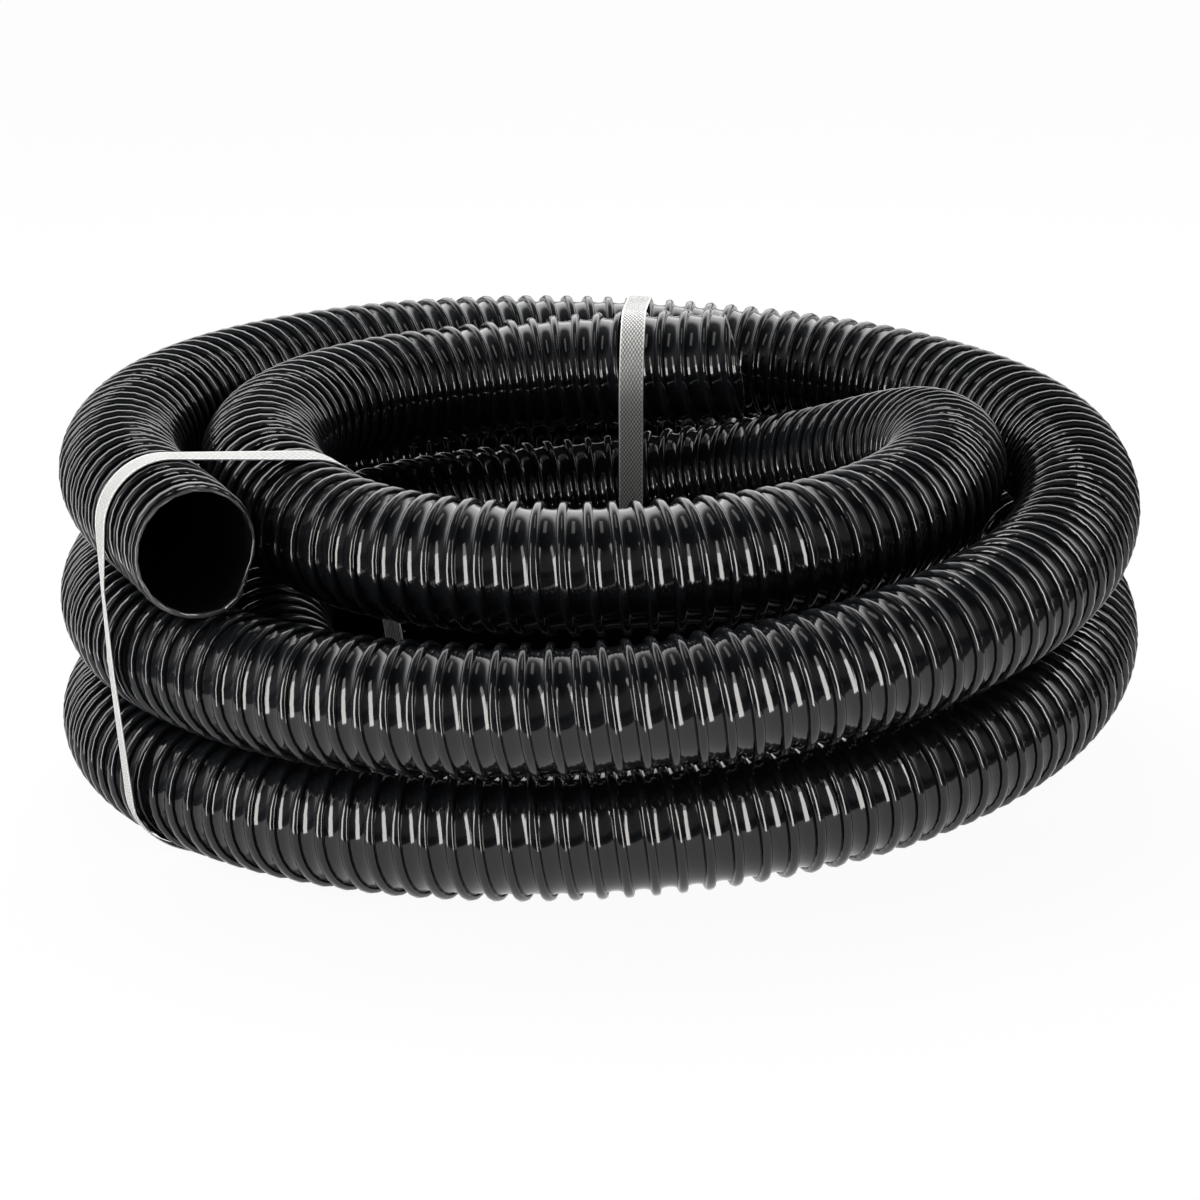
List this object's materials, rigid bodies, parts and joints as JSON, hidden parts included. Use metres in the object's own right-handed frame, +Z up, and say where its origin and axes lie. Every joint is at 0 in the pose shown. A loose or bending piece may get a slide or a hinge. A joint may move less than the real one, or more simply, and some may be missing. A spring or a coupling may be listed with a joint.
{
  "type": "pool vacuum hose",
  "caption": "Spiral-ribbed flexible suction hose with plain cut ends, wound into a ring and tied with two flat packing straps.",
  "frame": {"origin": "on the floor under the middle of the strapped coil", "axes": "+Z up; -Y is the front, where the open front end points; +X is to the right seen from the front"},
  "size_m": [0.5076, 0.5163, 0.1835],
  "materials": {
    "hose_pvc": "gloss",
    "strap_pp": "embossed matte"
  },
  "bodies": {
    "root": {"hose_coil": "hose_pvc", "hose_front_end": "hose_pvc", "hose_rear_end": "hose_pvc", "strap_left": "strap_pp", "strap_rear": "strap_pp"}
  },
  "joints": []
}
